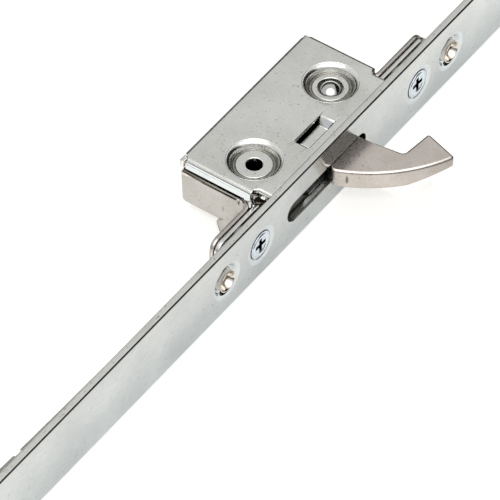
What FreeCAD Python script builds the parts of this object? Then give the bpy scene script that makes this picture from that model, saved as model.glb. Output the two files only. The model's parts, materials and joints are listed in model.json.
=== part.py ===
import FreeCAD, Part
import math
import os

from FreeCAD import Vector

# Hook case of a multipoint door lock with its strip, in millimetres.
# X runs along the strip, the front of the strip faces -Y, the big face of the case is up.
# Depths are given from the front of the strip. The saved parts have their origin on the back
# of the strip, where it seats in the door, midway between the two door screws.

# Strip
strip_width = 24.0
strip_thickness = 2.4
strip_left = 175.0
strip_right = 105.0
strip_edge_radius = 0.7
hook_slot_left = 26.4
hook_slot_right = 12.9
hook_slot_width = 7.2

# Screws and their dished seats in the strip
case_screw_spacing = 79.0
screw_diameter = 4.8
screw_head_diameter = 9.0
screw_head_sink = 0.25
screw_seat_ring = 0.3
screw_seat_ring_depth = 0.35
screw_cone_angle = 45.0
screw_overrun = 1.2
screw_tip_chamfer = 0.6
recess_length = 5.4
recess_width = 1.1
recess_depth = 1.6
recess_point_radius = 0.9
door_screw_spacing = 112.6
door_screw_hole = 4.8
door_screw_way = 6.0
bush_rim_rise = 0.5
bush_rim_wall = 0.3
bush_funnel_depth = 2.4
bush_recess_diameter = 10.4
bush_recess_floor = 8.6
bush_recess_depth = 1.5
bush_barrel_diameter = 7.2
bush_flange_diameter = 10.0
bush_flange_thickness = 1.0
dish_diameter = 12.8
dish_depth = 0.3
bush_dish_depth = 0.35

# Drive rail behind the strip
rail_side_gap = 0.4
rail_thickness = 2.2
rail_gap = 0.2
rail_left = 170.0
rail_right = 101.0
rail_slot_width = 7.9
rail_hook_slot_left = 15.4
rail_hook_slot_right = 14.2
rail_bow = 1.5
rail_bow_length = 82.0
rail_notch_place = 146.0
rail_notch_width = 2.4
rail_notch_depth = 1.0

# Case
case_left = 32.0
case_right = 30.6
case_rear = 34.1
case_height = 18.8
cover_sheet = 1.4
cover_bend_radius = 1.5
cover_rim_depth = 3.7
cover_front_gap = 0.2
cover_notch_back = 9.2
cover_notch_step = 2.4
cover_notch_radius = 1.2
cover_lip_depth = 3.2
cover_lip_radius = 1.2
corner_cut = 2.1
corner_relief_radius = 2.4
corner_slit = 0.6
corner_slit_depth = 2.0
body_wall = 1.8
body_floor = 1.5
body_top_gap = 1.5
body_lip = 1.3
body_lip_gap = 0.2
body_lip_overlap = 3.4
body_rim_wall = 1.0
body_rebate_depth = 2.6
body_edge_radius = 2.5
body_corner_radius = 1.2
body_draft = 0.4
body_band_height = 0.9
body_band_inset = 0.6
body_panel_radius = 1.6
gusset_reach = 11.0
corner_post_radius = 1.5
corner_post_inset = 3.1
corner_post_place = 8.4
corner_post_edge = 0.5
heel_pocket_skin = 1.0
heel_pocket_length = 14.0
heel_pocket_reach = 2.6
heel_clearance = 0.4

# Fixing lugs
lug_past_screw_left = 11.7
lug_past_screw_right = 14.9
lug_half_height = 4.6
lug_corner_radius = 3.5
cover_lug_place = 6.9
lug_gap = 0.4
body_lug_sheet = 1.5
lug_bend_radius = 2.8
lug_neck_width = 2.2
lug_neck_reach = 4.6
lug_neck_rise = 1.5

# Pressed features of the cover
dimple_diameter = 14.6
dimple_floor_diameter = 10.7
dimple_depth = 1.9
dimple_groove = 0.5
dimple_disc_edge = 0.25
dimple_wall_run = 1.0
dimple_skin = 1.0
dimple_lip_radius = 1.8
dimple_groove_radius = 0.45
dimple_disc_radius = 0.25
dimple_land = 1.9
open_dimple_place = -20.5
open_dimple_hole = 5.0
tongue_left = -7.9
tongue_right = 5.1
tongue_near = 5.9
tongue_far = 11.0
tongue_corner_radius = 0.8
tongue_land = 0.8
tongue_ramp = 1.7
tongue_drop = 2.4
tongue_crest_radius = 1.0
tongue_foot_radius = 0.5
tongue_end_gap = 2.0
tongue_near_gap = 1.2
tongue_far_gap = 0.6
tongue_root_gap = 0.15

# Hook and pivot
pivot_x = 17.6
pivot_y = 16.0
pivot_pin_diameter = 6.0
pivot_bore_clearance = 0.05
pivot_head_diameter = 6.5
pivot_head_gap = 0.5
pivot_head_edge = 0.5
pivot_dome_rise = 1.5
pivot_foot_diameter = 8.6
pivot_foot_height = 0.7
hook_thickness = 6.7
hook_hub_radius = 9.0
hub_front_angle = -130.0
hook_neck_radius = 6.4
hook_back_radius = 47.85
hook_back_left = -9.85
hook_back_centre_y = 16.9
hook_heel_angle = 22.2
hook_tip_angle = 66.3
hook_nose_x = 22.2
hook_nose_y = 15.4
hook_throat_x = 11.4
hook_throat_y = 14.2
hook_root_x = 9.4
hook_edge_radius = 0.9
hook_plain_root = 0.5
hook_corner_radius = 0.9
hook_throat_radius = 1.4
hook_heel_radius = 2.0
hook_taper_length = 8.6
hook_taper_rise = 2.9
hook_travel_deg = 70.5
spacer_diameter = 10.6
play = 0.08

# Rack and toothed sector
tooth_module = 1.5
pinion_teeth = 12
pressure_angle = 25.0
tooth_addendum = 1.2
tooth_dedendum = 1.6
tooth_backlash = 0.15
tooth_root_sink = 0.3
gear_thickness = 1.8
gear_floor_gap = 0.8
sector_first_tooth = -105.0
sector_tooth_count = 4
rack_tooth_first = -1
rack_tooth_count = 4
rack_left = 5.0
rack_right = 34.5
rack_rivet_inset = 2.4
rack_rivet_diameter = 1.6
rack_boss_thickness = 0.9

# How far cutting shapes reach past what they cut, and how close counts as the same place
overshoot = 1.0
same_place = 0.01

# Worked-out places
half_width = strip_width / 2
half_case = case_height / 2
case_screw_x = case_screw_spacing / 2
door_screw_x = door_screw_spacing / 2
lug_reach_left = case_screw_x + lug_past_screw_left
lug_reach_right = case_screw_x + lug_past_screw_right
rail_width = case_height - 2 * (body_floor + rail_side_gap)
rail_front = strip_thickness + rail_gap
rail_back = rail_front + rail_thickness
cover_under = half_case - cover_sheet
rim_bottom = half_case - cover_rim_depth
body_top = rim_bottom - body_top_gap
floor_top = -half_case + body_floor
cover_lug_back = cover_lug_place + cover_sheet
body_lug_front = cover_lug_back + lug_gap
body_lug_back = body_lug_front + body_lug_sheet
dimple_floor = half_case - dimple_depth
dimple_valley = dimple_floor - dimple_groove
dimple_back = dimple_valley - dimple_skin
half_hook = hook_thickness / 2
pitch_radius = tooth_module * pinion_teeth / 2
tooth_pitch = math.pi * tooth_module
rail_travel = pitch_radius * math.radians(hook_travel_deg)
gear_bottom = floor_top + gear_floor_gap
gear_top = gear_bottom + gear_thickness


def box(x0, x1, y0, y1, z0, z1):
    return Part.makeBox(x1 - x0, y1 - y0, z1 - z0, Vector(x0, y0, z0))


def rod_y(x, z, y0, y1, radius):
    return Part.makeCylinder(radius, y1 - y0, Vector(x, y0, z), Vector(0, 1, 0))


def rod_z(x, y, z0, z1, radius):
    return Part.makeCylinder(radius, z1 - z0, Vector(x, y, z0), Vector(0, 0, 1))


def cone_y(x, y0, y1, radius0, radius1):
    return Part.makeCone(radius0, radius1, y1 - y0, Vector(x, y0, 0), Vector(0, 1, 0))


def slot_y(x0, x1, width, y0, y1):
    """Round-ended slot through the thickness, from end to end along X."""
    radius = width / 2
    middle = box(x0 + radius, x1 - radius, y0, y1, -radius, radius)
    return middle.fuse([rod_y(x0 + radius, 0, y0, y1, radius), rod_y(x1 - radius, 0, y0, y1, radius)])


def prism_z(edges, z0, z1):
    """Solid over a closed outline of edges at height z0."""
    face = Part.Face(Part.Wire(Part.__sortEdges__(edges)))
    return face.extrude(Vector(0, 0, z1 - z0))


def polygon_z(points, z0, z1):
    corners = [Vector(x, y, z0) for x, y in points]
    face = Part.Face(Part.makePolygon(corners + [corners[0]]))
    return face.extrude(Vector(0, 0, z1 - z0))


def spin_z(profile, x, y):
    """Full turn of a closed (radius, height) profile about an upright axis."""
    corners = [Vector(x + radius, y, z) for radius, z in profile]
    face = Part.Face(Part.makePolygon(corners + [corners[0]]))
    return face.revolve(Vector(x, y, 0), Vector(0, 0, 1), 360)


def spin_y(profile, x):
    """Full turn of a closed (radius, depth) profile about an axis through the strip."""
    corners = [Vector(x + radius, y, 0) for radius, y in profile]
    face = Part.Face(Part.makePolygon(corners + [corners[0]]))
    return face.revolve(Vector(x, 0, 0), Vector(0, 1, 0), 360)


def mirrored(shape):
    return shape.mirror(Vector(0, 0, 0), Vector(1, 0, 0))


def edges_where(shape, test):
    """Edges whose every corner and middle passes the test."""
    found = []
    for edge in shape.Edges:
        low, high = edge.ParameterRange
        places = [edge.valueAt(low), edge.valueAt((low + high) / 2), edge.valueAt(high)]
        if all(test(place) for place in places):
            found.append(edge)
    return found


def edges_above(shape, corner):
    """Upright edges over one corner of an outline."""
    return edges_where(shape, lambda p: near(p.x, corner.x) and near(p.y, corner.y))


def near(value, target):
    return abs(value - target) < same_place


def faceplate():
    plate = box(-strip_left, strip_right, 0, strip_thickness, -half_width, half_width)
    long_edges = edges_where(plate, lambda p: near(abs(p.z), half_width) and near(p.y, 0))
    plate = plate.makeFillet(strip_edge_radius, long_edges)
    behind = strip_thickness + overshoot
    cuts = [slot_y(-hook_slot_left, hook_slot_right, hook_slot_width, -overshoot, behind)]
    for x in (-case_screw_x, case_screw_x):
        cone_depth = (screw_head_diameter - screw_diameter) / 2 / math.tan(math.radians(screw_cone_angle))
        seat_radius = screw_head_diameter / 2 + play
        hole_radius = screw_diameter / 2 + play
        ring = screw_head_diameter / 2 + screw_seat_ring
        cuts.append(cone_y(x, 0, dish_depth, dish_diameter / 2, ring))
        cuts.append(rod_y(x, 0, 0, dish_depth + screw_seat_ring_depth, ring))
        cuts.append(cone_y(x, dish_depth, dish_depth + cone_depth, seat_radius, hole_radius))
        cuts.append(rod_y(x, 0, 0, behind, hole_radius))
    for x in (-door_screw_x, door_screw_x):
        recess = bush_recess_diameter / 2
        barrel = bush_barrel_diameter / 2 + play
        cuts.append(cone_y(x, 0, bush_dish_depth, dish_diameter / 2, recess))
        cuts.append(cone_y(x, bush_dish_depth, bush_recess_depth, recess, bush_recess_floor / 2))
        cuts.append(rod_y(x, 0, 0, behind, barrel))
    return plate.cut(cuts)


def door_bush(x):
    """Flanged bush whose coned mouth stands a little proud in its recess."""
    barrel = bush_barrel_diameter / 2
    mouth = barrel - bush_rim_wall
    bore = door_screw_hole / 2
    flange = bush_flange_diameter / 2
    flange_front = rail_back + rail_gap
    profile = [
        (bore, bush_funnel_depth - bush_rim_rise),
        (mouth, -bush_rim_rise),
        (barrel, -bush_rim_rise),
        (barrel, flange_front),
        (flange, flange_front),
        (flange, flange_front + bush_flange_thickness),
        (bore, flange_front + bush_flange_thickness),
    ]
    return spin_y(profile, x)


def case_screw(x):
    """Countersunk screw with a cross recess, through strip and lugs."""
    head = screw_head_diameter / 2
    shank = screw_diameter / 2
    tip = body_lug_back + screw_overrun
    profile = [
        (0, screw_head_sink),
        (head, screw_head_sink),
        (shank, screw_head_sink + (head - shank) / math.tan(math.radians(screw_cone_angle))),
        (shank, tip - screw_tip_chamfer),
        (shank - screw_tip_chamfer, tip),
        (0, tip),
    ]
    screw = spin_y(profile, x)
    low = screw_head_sink - play
    deep = screw_head_sink + recess_depth
    wing = recess_length / 2
    half = recess_width / 2
    cross = box(x - wing, x + wing, low, deep, -half, half)
    cross = cross.fuse(box(x - half, x + half, low, deep, -wing, wing))
    taper = cone_y(x, low, deep, wing, recess_point_radius)
    return screw.cut(cross.common(taper))


def screw_collar(x):
    """Distance tube that holds the lug clear of the sliding rail."""
    tube = rod_y(x, 0, strip_thickness, cover_lug_place, bush_barrel_diameter / 2)
    return tube.cut(rod_y(x, 0, 0, cover_lug_place + overshoot, screw_diameter / 2 + play))


def drive_rail():
    """Flat rail with clearance slots, bowed off the strip towards its free left end."""
    half = rail_width / 2
    bow_start = -rail_left + rail_bow_length
    bow_turn = math.atan2(rail_bow, rail_bow_length) * 2
    bow_radius = rail_bow_length / math.sin(bow_turn)
    centre = Vector(bow_start, rail_front + bow_radius, -half)

    def bow_point(radius, turn):
        return centre + Vector(-radius * math.sin(turn), -radius * math.cos(turn), 0)

    inner = bow_radius - rail_thickness
    front = Part.Arc(bow_point(bow_radius, 0), bow_point(bow_radius, bow_turn / 2),
                     bow_point(bow_radius, bow_turn)).toShape()
    back = Part.Arc(bow_point(inner, 0), bow_point(inner, bow_turn / 2),
                    bow_point(inner, bow_turn)).toShape()
    right_front = Vector(rail_right, rail_front, -half)
    right_back = Vector(rail_right, rail_back, -half)
    edges = [
        front,
        back,
        Part.makeLine(bow_point(bow_radius, bow_turn), bow_point(inner, bow_turn)),
        Part.makeLine(bow_point(bow_radius, 0), right_front),
        Part.makeLine(right_front, right_back),
        Part.makeLine(right_back, bow_point(inner, 0)),
    ]
    rail = prism_z(edges, -half, half)
    low = rail_front - overshoot
    high = rail_back + overshoot
    reach = bush_barrel_diameter / 2 + (rail_slot_width - bush_barrel_diameter) / 2
    cuts = [slot_y(-rail_hook_slot_left, rail_hook_slot_right, rail_slot_width, low, high)]
    for side in (-1, 1):
        near_x = side * case_screw_x
        far_x = side * door_screw_x
        left = min(near_x, far_x) - reach
        right = max(near_x, far_x) + reach + rail_travel
        cuts.append(slot_y(left, right, rail_slot_width, low, high))
    cuts.append(box(-rail_notch_place - rail_notch_width, -rail_notch_place, low, high + rail_bow,
                    half - rail_notch_depth, half + overshoot))
    for x in rack_rivet_places():
        cuts.append(rod_y(x, gear_middle(), low, high, rack_rivet_diameter / 2))
    return rail.cut(cuts)


def rack_rivet_places():
    return (rack_left + rack_rivet_inset, rack_right - rack_rivet_inset)


def gear_middle():
    return (gear_bottom + gear_top) / 2


def rack():
    """Straight rack on the back of the rail, below the hook."""
    pitch_line = pivot_y - pitch_radius
    root = pitch_line - tooth_dedendum
    tip = pitch_line + tooth_addendum
    slope = math.tan(math.radians(pressure_angle))
    half_tooth = (tooth_pitch / 2 - tooth_backlash) / 2
    bar = box(rack_left, rack_right, rail_back, root, gear_bottom, gear_top)
    parts = []
    for x in rack_rivet_places():
        inset = rack_rivet_inset
        parts.append(box(x - inset, x + inset, rail_back, rail_back + rack_boss_thickness,
                         gear_bottom, gear_top))
    for index in range(rack_tooth_count):
        x = pivot_x + (rack_tooth_first + index) * tooth_pitch
        wide = half_tooth + tooth_dedendum * slope
        narrow = half_tooth - tooth_addendum * slope
        corners = [(x - wide, root), (x + wide, root), (x + narrow, tip), (x - narrow, tip)]
        parts.append(polygon_z(corners, gear_bottom, gear_top))
    bar = bar.fuse(parts).removeSplitter()
    for x in rack_rivet_places():
        bar = bar.cut(rod_y(x, gear_middle(), 0, pivot_y, rack_rivet_diameter / 2))
    return bar


def rack_rivets():
    """Two flush rivets through rail and rack."""
    end = rail_back + rack_boss_thickness
    rivets = []
    for x in rack_rivet_places():
        rivets.append(rod_y(x, gear_middle(), rail_front, end, rack_rivet_diameter / 2))
    return Part.makeCompound(rivets)


def sector_tooth(middle_deg):
    """One tooth with involute flanks, each drawn as an arc through three of its points."""
    root_radius = pitch_radius - tooth_dedendum - tooth_root_sink
    tip_radius = pitch_radius + tooth_addendum
    alpha = math.radians(pressure_angle)
    base_radius = pitch_radius * math.cos(alpha)
    half_angle = (tooth_pitch / 2 - tooth_backlash) / 2 / pitch_radius
    middle = math.radians(middle_deg)

    def flank(radius, side):
        turned = math.acos(min(1.0, base_radius / radius))
        spread = half_angle + math.tan(alpha) - alpha - (math.tan(turned) - turned)
        angle = middle + side * spread
        return Vector(pivot_x + radius * math.cos(angle), pivot_y + radius * math.sin(angle), gear_bottom)

    def root(side):
        spread = half_angle + math.tan(alpha) - alpha
        angle = middle + side * spread
        return Vector(pivot_x + root_radius * math.cos(angle), pivot_y + root_radius * math.sin(angle),
                      gear_bottom)

    crown = Vector(pivot_x + tip_radius * math.cos(middle), pivot_y + tip_radius * math.sin(middle),
                   gear_bottom)
    edges = [
        Part.makeLine(root(-1), flank(base_radius, -1)),
        Part.Arc(flank(base_radius, -1), flank(pitch_radius, -1), flank(tip_radius, -1)).toShape(),
        Part.Arc(flank(tip_radius, -1), crown, flank(tip_radius, 1)).toShape(),
        Part.Arc(flank(tip_radius, 1), flank(pitch_radius, 1), flank(base_radius, 1)).toShape(),
        Part.makeLine(flank(base_radius, 1), root(1)),
        Part.makeLine(root(1), root(-1)),
    ]
    return prism_z(edges, gear_bottom, gear_top)


def tapered_underside():
    """Wedge under the beak that thins the hook towards its tip."""
    tip_y = hook_back_point(hook_tip_angle, 0).y
    start = tip_y + hook_taper_length
    end = tip_y - hook_taper_length
    corners = [
        Vector(hook_back_left, start, -half_hook),
        Vector(hook_back_left, end, -half_hook + hook_taper_rise * 2),
        Vector(hook_back_left, end, -half_hook - overshoot),
        Vector(hook_back_left, start, -half_hook - overshoot),
    ]
    return Part.Face(Part.makePolygon(corners + [corners[0]])).extrude(Vector(hook_back_radius, 0, 0))


def hook_back_point(angle_deg, z):
    """Point on the rounded back of the hook, by its angle from the arc's leftmost point."""
    angle = math.radians(angle_deg)
    x = hook_back_left + hook_back_radius * (1 - math.cos(angle))
    return Vector(x, hook_back_centre_y - hook_back_radius * math.sin(angle), z)


def hook():
    """Cast hook with its hub and the toothed sector below it."""
    z = -half_hook

    heel = hook_back_point(hook_heel_angle, z)
    middle = hook_back_point((hook_heel_angle + hook_tip_angle) / 2, z)
    tip = hook_back_point(hook_tip_angle, z)
    nose = Vector(hook_nose_x, -hook_nose_y, z)
    throat = Vector(hook_throat_x, -hook_throat_y, z)
    root = Vector(hook_root_x, 0, z)
    inner = Vector(hook_root_x, rail_front, z)
    hub_right = hub_point(hub_front_angle, z)
    reach = math.hypot(pivot_x - heel.x, pivot_y - heel.y)
    toward_heel = math.atan2(heel.y - pivot_y, heel.x - pivot_x)
    hub_left = hub_point(math.degrees(toward_heel - math.acos(hook_hub_radius / reach)), z)
    edges = [
        Part.Arc(heel, middle, tip).toShape(),
        Part.makeLine(tip, nose),
        Part.makeLine(nose, throat),
        Part.makeLine(throat, root),
        Part.makeLine(root, inner),
        Part.makeLine(inner, hub_right),
        Part.makeLine(hub_right, Vector(pivot_x, pivot_y, z)),
        Part.makeLine(Vector(pivot_x, pivot_y, z), hub_left),
        Part.makeLine(hub_left, heel),
    ]
    arm = prism_z(edges, z, half_hook)
    arm = arm.makeFillet(hook_corner_radius, edges_above(arm, tip) + edges_above(arm, nose))
    arm = arm.makeFillet(hook_throat_radius, edges_above(arm, throat))
    arm = arm.makeFillet(hook_heel_radius, edges_above(arm, heel))
    arm = arm.cut(tapered_underside())
    outer = edges_where(arm, lambda p: p.y < -hook_plain_root and (near(p.z, half_hook) or p.z < 0))
    arm = arm.makeFillet(hook_edge_radius, [edge for edge in outer if not is_upright(edge)])
    hub = rod_z(pivot_x, pivot_y, z, half_hook, hook_hub_radius)
    neck = rod_z(pivot_x, pivot_y, gear_bottom, z, hook_neck_radius)
    disc = rod_z(pivot_x, pivot_y, gear_bottom, gear_top, pitch_radius - tooth_dedendum)
    step = 360 / pinion_teeth
    teeth = [sector_tooth(sector_first_tooth + index * step) for index in range(sector_tooth_count)]
    whole = arm.fuse([hub, neck, disc] + teeth).removeSplitter()
    bore = pivot_pin_diameter / 2 + pivot_bore_clearance
    return whole.cut(rod_z(pivot_x, pivot_y, -half_case, half_case, bore))


def is_upright(edge):
    start = edge.valueAt(edge.FirstParameter)
    end = edge.valueAt(edge.LastParameter)
    return abs(end.z - start.z) > edge.Length / 2


def hub_point(angle_deg, z):
    angle = math.radians(angle_deg)
    return Vector(pivot_x + hook_hub_radius * math.cos(angle), pivot_y + hook_hub_radius * math.sin(angle), z)


def hook_pivot_pin():
    """Riveted pin with a domed head in the cover's dimple."""
    shaft = pivot_pin_diameter / 2
    head = pivot_head_diameter / 2
    head_under = dimple_back + play
    foot = -half_case
    low = dimple_floor - pivot_head_edge
    profile = [
        (0, foot),
        (pivot_foot_diameter / 2, foot),
        (pivot_foot_diameter / 2, foot + pivot_foot_height),
        (shaft, foot + pivot_foot_height),
        (shaft, head_under),
        (head, head_under),
        (head, low),
        (0, low),
    ]
    pin = spin_z(profile, pivot_x, pivot_y)
    dome_radius = (head ** 2 + pivot_dome_rise ** 2) / (2 * pivot_dome_rise)
    ball = Part.makeSphere(dome_radius, Vector(pivot_x, pivot_y, low + pivot_dome_rise - dome_radius))
    return pin.fuse(ball.common(rod_z(pivot_x, pivot_y, low, half_case, head))).removeSplitter()


def spacer(z0, z1):
    ring = rod_z(pivot_x, pivot_y, z0, z1, spacer_diameter / 2)
    return ring.cut(rod_z(pivot_x, pivot_y, z0 - overshoot, z1 + overshoot,
                          pivot_pin_diameter / 2 + pivot_bore_clearance))


def dimple(x, hole_diameter):
    """Pressed dimple with a raised disc in its floor, and a hole through the disc."""
    outer = dimple_diameter / 2
    disc = dimple_floor_diameter / 2
    bottom = outer - dimple_wall_run
    hole = hole_diameter / 2
    edge = outer + dimple_land
    slope = (half_case - dimple_valley) / dimple_wall_run
    back_shift = dimple_skin * math.hypot(1, slope) / slope
    profile = [
        (hole, dimple_back),
        (bottom - dimple_skin / slope + back_shift, dimple_back),
        (outer - cover_sheet / slope + back_shift, cover_under),
        (edge, cover_under),
        (edge, half_case),
        (outer, half_case),
        (bottom, dimple_valley),
        (disc + dimple_disc_edge, dimple_valley),
        (disc, dimple_floor),
        (hole, dimple_floor),
    ]
    cup = spin_z(profile, x, pivot_y)
    rings = (
        (outer, half_case, dimple_lip_radius),
        (bottom, dimple_valley, dimple_groove_radius),
        (disc, dimple_floor, dimple_disc_radius),
    )
    for radius, height, rounding in rings:
        lips = edges_where(cup, lambda p: near(p.z, height) and near(math.hypot(p.x - x, p.y - pivot_y), radius))
        cup = cup.makeFillet(rounding, lips)
    return cup


def lug_plate(root_x, reach, front, back):
    """Flat lug with rounded outer corners and its screw hole, clear of the door screw beside it."""
    plate = box(root_x, reach, front, back, -lug_half_height, lug_half_height)
    corners = edges_where(plate, lambda p: near(p.x, reach) and near(abs(p.z), lug_half_height))
    plate = plate.makeFillet(lug_corner_radius, corners)
    plate = plate.cut(rod_y(case_screw_x, 0, 0, case_rear, screw_diameter / 2 + play))
    return plate.cut(rod_y(door_screw_x, 0, 0, case_rear, door_screw_way / 2))


def cover_lug(side_x, reach):
    """Lug turned out from the front end of the rim by a narrow neck, on the right-hand side."""
    inner = side_x - cover_sheet
    neck_back = cover_lug_place + lug_neck_width
    neck_root = cover_lug_place + lug_neck_reach
    neck_low = lug_half_height + body_lip_gap
    corners = [
        (cover_lug_place, -lug_half_height),
        (neck_back, -lug_half_height),
        (neck_back, neck_low),
        (neck_root, neck_low),
        (neck_root, rim_bottom + play),
        (cover_notch_back + play, rim_bottom + lug_neck_rise),
        (cover_lug_back, lug_half_height),
        (cover_lug_place, lug_half_height),
    ]
    points = [Vector(inner, y, z) for y, z in corners]
    neck = Part.Face(Part.makePolygon(points + [points[0]])).extrude(Vector(cover_sheet, 0, 0))
    return neck.fuse(lug_plate(inner, reach, cover_lug_place, cover_lug_back)).removeSplitter()


def front_notch(side_x, fold_x):
    """Opening beside the strip with a rounded inner corner, and the place of its lip, on the right."""
    low = rim_bottom - overshoot
    high = half_case + overshoot
    opening = box(fold_x, side_x + overshoot, 0, cover_notch_back, low, high)
    opening = opening.makeFillet(cover_notch_radius, edges_above(opening, Vector(fold_x, cover_notch_back, 0)))
    lip_back = cover_notch_back - cover_notch_radius
    return opening.fuse(box(fold_x - cover_sheet, fold_x + play, 0, lip_back, low, high))


def front_lip(fold_x):
    """Lip folded down beside the opening, behind the rail, on the right-hand side."""
    inner = fold_x - cover_sheet
    front = strip_thickness + cover_front_gap
    back = cover_notch_back - cover_notch_radius
    sheet = box(inner, fold_x, front, back, cover_under, half_case)
    hanging = box(inner, fold_x, rail_back + rail_gap, back, half_case - cover_lip_depth, half_case)
    lip = sheet.fuse(hanging).removeSplitter()
    fold = edges_where(lip, lambda p: near(p.x, fold_x) and near(p.z, half_case))
    return lip.makeFillet(cover_lip_radius, fold)


def case_cover():
    """Pressed cover: flat top, folded rims, dimples, tongue and front lugs."""
    front = strip_thickness + cover_front_gap
    left_fold = case_left - cover_notch_step
    right_fold = case_right - cover_notch_step
    shell = box(-case_left, case_right, front, case_rear, rim_bottom, half_case)
    bends = [edge for edge in edges_where(shell, lambda p: near(p.z, half_case))
             if not near(edge.CenterOfMass.y, front)]
    shell = shell.makeFillet(cover_bend_radius, bends)
    low = rim_bottom - overshoot
    high = half_case + overshoot
    hollow = box(-case_left + cover_sheet, case_right - cover_sheet,
                 front - overshoot, case_rear - cover_sheet, low, cover_under)
    cuts = [
        hollow,
        mirrored(front_notch(case_left, left_fold)),
        front_notch(case_right, right_fold),
        rear_corner_cut(-case_left, 1),
        rear_corner_cut(case_right, -1),
    ]
    for x in (open_dimple_place, pivot_x):
        cuts.append(rod_z(x, pivot_y, 0, high, (dimple_diameter + dimple_land) / 2))
    cuts.append(tongue_window(high))
    shell = shell.cut(cuts)
    pieces = [
        dimple(open_dimple_place, open_dimple_hole),
        dimple(pivot_x, pivot_head_diameter + 2 * pivot_head_gap),
        tongue(),
        cover_lug(case_right, lug_reach_right),
        mirrored(cover_lug(case_left, lug_reach_left)),
        front_lip(right_fold),
        mirrored(front_lip(left_fold)),
    ]
    return shell.fuse(pieces).removeSplitter()


def rear_corner_cut(side_x, inward):
    """Round relief in the top at a rear corner, and the slit that parts the two rims below it."""
    relief = rod_z(side_x, case_rear, cover_under, half_case + overshoot, corner_relief_radius)
    slit_back = case_rear - cover_sheet
    ends = (side_x - inward * overshoot, side_x + inward * corner_slit_depth)
    slit = box(min(ends), max(ends), slit_back - corner_slit, slit_back, rim_bottom - overshoot, cover_under)
    return relief.fuse(slit)


def tongue_window(high):
    """Window around the tongue with rounded corners."""
    window = box(tongue_left, tongue_right + tongue_land, tongue_near, tongue_far, 0, high)
    ends = edges_where(window, lambda p: near(p.x, tongue_left))
    return window.makeFillet(tongue_corner_radius, [edge for edge in ends if is_upright(edge)])


def tongue():
    """Drawn tongue, bent down from its right-hand end to a narrower floor."""
    root = tongue_right + tongue_land
    ramp_end = tongue_right - tongue_ramp
    floor_left = tongue_left + tongue_end_gap
    floor_near = tongue_near + tongue_near_gap
    floor_far = tongue_far - tongue_far_gap
    low = half_case - tongue_drop
    upper = [(root, half_case), (tongue_right, half_case), (ramp_end, low), (floor_left, low)]
    lower = [(x, z - cover_sheet) for x, z in reversed(upper)]
    points = [Vector(x, tongue_near, z) for x, z in upper + lower]
    band = Part.Face(Part.makePolygon(points + [points[0]])).extrude(Vector(0, tongue_far - tongue_near, 0))
    crest = edges_where(band, lambda p: near(p.x, tongue_right) and near(p.z, half_case))
    band = band.makeFillet(tongue_crest_radius, crest)
    foot = edges_where(band, lambda p: near(p.x, ramp_end) and near(p.z, low))
    band = band.makeFillet(tongue_foot_radius, foot)
    outline = [
        (root, tongue_near),
        (root, tongue_far),
        (tongue_right, tongue_far - tongue_root_gap),
        (ramp_end, floor_far),
        (floor_left, floor_far),
        (floor_left, floor_near),
        (ramp_end, floor_near),
        (tongue_right, tongue_near + tongue_root_gap),
    ]
    return band.common(polygon_z(outline, 0, half_case))


def body_lug(wall_x, reach):
    """Lug of the die-cast body on the right-hand side, with its bend and gusset."""
    bend = lug_bend_radius
    centre_x = wall_x + bend
    centre_y = body_lug_back + bend
    low = -lug_half_height
    outside = bend + body_lug_sheet
    corner = box(centre_x - outside, centre_x, body_lug_front, centre_y, low, lug_half_height)
    corner = corner.common(rod_z(centre_x, centre_y, low, lug_half_height, outside))
    corner = corner.cut(rod_z(centre_x, centre_y, low, lug_half_height, bend))
    lug = lug_plate(centre_x, reach, body_lug_front, body_lug_back)
    return lug.fuse([corner, gusset(wall_x)]).removeSplitter()


def gusset(wall_x):
    """Cast web in the corner between the end wall and the lug."""
    top_wall = Vector(wall_x, body_lug_back + play, 0)
    deep_wall = Vector(wall_x, body_lug_back + gusset_reach, -half_case)
    low_wall = Vector(wall_x, body_lug_back, -half_case)
    out = Vector(wall_x + gusset_reach, body_lug_back, -lug_half_height)
    wedge = tetra(top_wall, deep_wall, out, low_wall)
    root = Part.makePolygon([top_wall, deep_wall, low_wall, top_wall])
    return wedge.fuse(Part.Face(root).extrude(Vector(-body_wall / 2, 0, 0)))


def tetra(a, b, c, d):
    faces = []
    for trio in ((a, b, c), (a, b, d), (a, c, d), (b, c, d)):
        faces.append(Part.Face(Part.makePolygon(list(trio) + [trio[0]])))
    solid = Part.Solid(Part.Shell(faces))
    if solid.Volume < 0:
        solid.reverse()
    return solid


def body_block(front):
    """Solid form of the tray, its rear face drafted and its top edge set in under the cover."""
    corners = [
        Vector(-case_left, front, body_top),
        Vector(-case_left, case_rear, body_top),
        Vector(-case_left, case_rear - body_draft, -half_case),
        Vector(-case_left, front, -half_case),
    ]
    block = Part.Face(Part.makePolygon(corners + [corners[0]])).extrude(Vector(case_left + case_right, 0, 0))
    at_rear = edges_where(block, lambda p: p.y > case_rear - body_draft - play)
    block = block.makeFillet(body_corner_radius, [edge for edge in at_rear if is_upright(edge)])
    lower = edges_where(block, lambda p: near(p.z, -half_case) and not near(p.y, front))
    block = block.makeFillet(body_edge_radius, lower)
    inset = body_band_inset
    low = body_top - body_band_height
    high = body_top + overshoot
    band = box(-case_left - overshoot, case_right + overshoot, 0, case_rear + overshoot, low, high)
    core = box(-case_left + inset, case_right - inset, 0, case_rear - inset,
               low - overshoot, high + overshoot)
    return block.cut(band.cut(core))


def heel_pocket():
    """Room in the rear wall for the heel of the drawn-in hook."""
    turn = math.radians(hook_travel_deg)
    heel = hook_back_point(hook_heel_angle, 0)
    across = heel.x - pivot_x
    along = heel.y - pivot_y
    middle = pivot_x + across * math.cos(turn) + along * math.sin(turn)
    half = heel_pocket_length / 2
    high = half_hook + heel_clearance
    inner = case_rear - body_wall - heel_pocket_reach
    return box(middle - half, middle + half, inner, case_rear - heel_pocket_skin, -high, high)


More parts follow.
